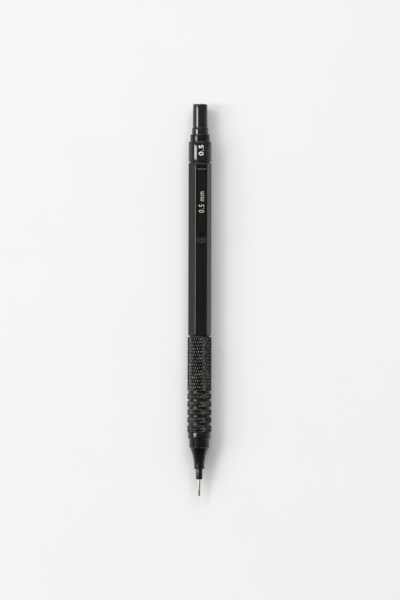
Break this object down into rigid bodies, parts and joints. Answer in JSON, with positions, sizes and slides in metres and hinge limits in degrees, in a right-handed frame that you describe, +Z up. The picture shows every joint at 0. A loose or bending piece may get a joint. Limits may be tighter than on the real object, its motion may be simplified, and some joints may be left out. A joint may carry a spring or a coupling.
{
  "type": "mechanical pencil",
  "caption": "Slim hexagonal metal mechanical pencil with a knurled grip, stepped concave nose, fixed lead sleeve, pocket clip and a push button over an eraser.",
  "frame": {"origin": "on the surface the pencil lies on, half way along it, under its axis", "axes": "+Y along the pencil from the lead's point to the push button, +Z up through the clip's facet, +X across"},
  "size_m": [0.0086, 0.14, 0.0089],
  "materials": {
    "gloss_black": "glossy black lacquer on turned metal",
    "satin_black": "satin black lacquer",
    "knurled_black": "satin black lacquer over cut knurling",
    "turned_black": "semi-gloss black lacquer over fine turning marks",
    "bare_steel": "drawn stainless tube",
    "spring_steel": "drawn spring wire",
    "brass": "turned brass",
    "aluminium": "drawn aluminium cup",
    "black_rubber": "moulded rubber",
    "white_rubber": "soft vinyl eraser",
    "graphite": "polymer graphite lead",
    "white_ink": "pad-printed white ink",
    "grey_ink": "pad-printed warm grey ink"
  },
  "bodies": {
    "housing": {"grip": "knurled_black", "joint_bush": "turned_black", "barrel": "satin_black", "rear_bush": "turned_black", "size_band": "gloss_black", "end_ring": "gloss_black", "clutch_housing": "brass", "return_spring": "spring_steel"},
    "nose": {"nose_cone": "turned_black", "sleeve_holder": "turned_black", "lead_sleeve": "bare_steel", "lead_retainer": "black_rubber"},
    "plunger": {"lead_tube": "brass", "tube_coupling": "brass", "chuck_stem": "brass", "spare_leads": "graphite", "eraser_cup": "aluminium", "eraser": "white_rubber", "button_collar": "gloss_black"},
    "button": {"push_button": "gloss_black"},
    "jaw_1": {"chuck_jaw_1": "brass"},
    "jaw_2": {"chuck_jaw_2": "brass"},
    "jaw_3": {"chuck_jaw_3": "brass"},
    "ring": {"clutch_ring": "brass"},
    "pocket_clip": {"clip": "satin_black"},
    "lead_in_use": {"lead": "graphite"}
  },
  "joints": [
    {"name": "button_press", "type": "slide", "parent": "housing", "child": "plunger", "axis": [0, -1, 0], "range_m": [0, 0.0024], "stiffness_N_per_m": 1800, "springref_m": -0.0012, "deforming": ["return_spring"]},
    {"name": "cap_pull", "type": "slide", "parent": "plunger", "child": "button", "axis": [0, 1, 0], "range_m": [0, 0.015]},
    {"name": "clip_flex", "type": "hinge", "parent": "housing", "child": "pocket_clip", "pos_m": [0, 0.0469, 0.00754], "axis": [-1, 0, 0], "range_deg": [0, 4], "stiffness_Nm_per_rad": 1.7, "springref_deg": -1.72},
    {"name": "lead_feed", "type": "slide", "parent": "housing", "child": "lead_in_use", "axis": [0, 1, 0], "range_m": [-0.003, 0.00228]},
    {"name": "nose_unscrew", "type": "slide", "parent": "housing", "child": "nose", "axis": [0, -1, 0], "range_m": [0, 0.03]},
    {"name": "ring_slide", "type": "slide", "parent": "housing", "child": "ring", "axis": [0, -1, 0], "range_m": [0, 0.00125]},
    {"name": "jaw_1_open", "type": "hinge", "parent": "plunger", "child": "jaw_1", "pos_m": [0, -0.0414, 0.00495], "axis": [-1, 0, 0], "range_deg": [0, 1.2]},
    {"name": "jaw_2_open", "type": "hinge", "parent": "plunger", "child": "jaw_2", "pos_m": [-0.00056, -0.0414, 0.00398], "axis": [0.5, 0, -0.866], "range_deg": [0, 1.2]},
    {"name": "jaw_3_open", "type": "hinge", "parent": "plunger", "child": "jaw_3", "pos_m": [0.00056, -0.0414, 0.00398], "axis": [0.5, 0, 0.866], "range_deg": [0, 1.2]}
  ],
  "couplings": [
    {"joint": "ring_slide", "follows": "button_press", "ratio": 0.5},
    {"joint": "jaw_1_open", "follows": "button_press", "rad_per_m": 8.5},
    {"joint": "jaw_2_open", "follows": "button_press", "rad_per_m": 8.5},
    {"joint": "jaw_3_open", "follows": "button_press", "rad_per_m": 8.5}
  ]
}
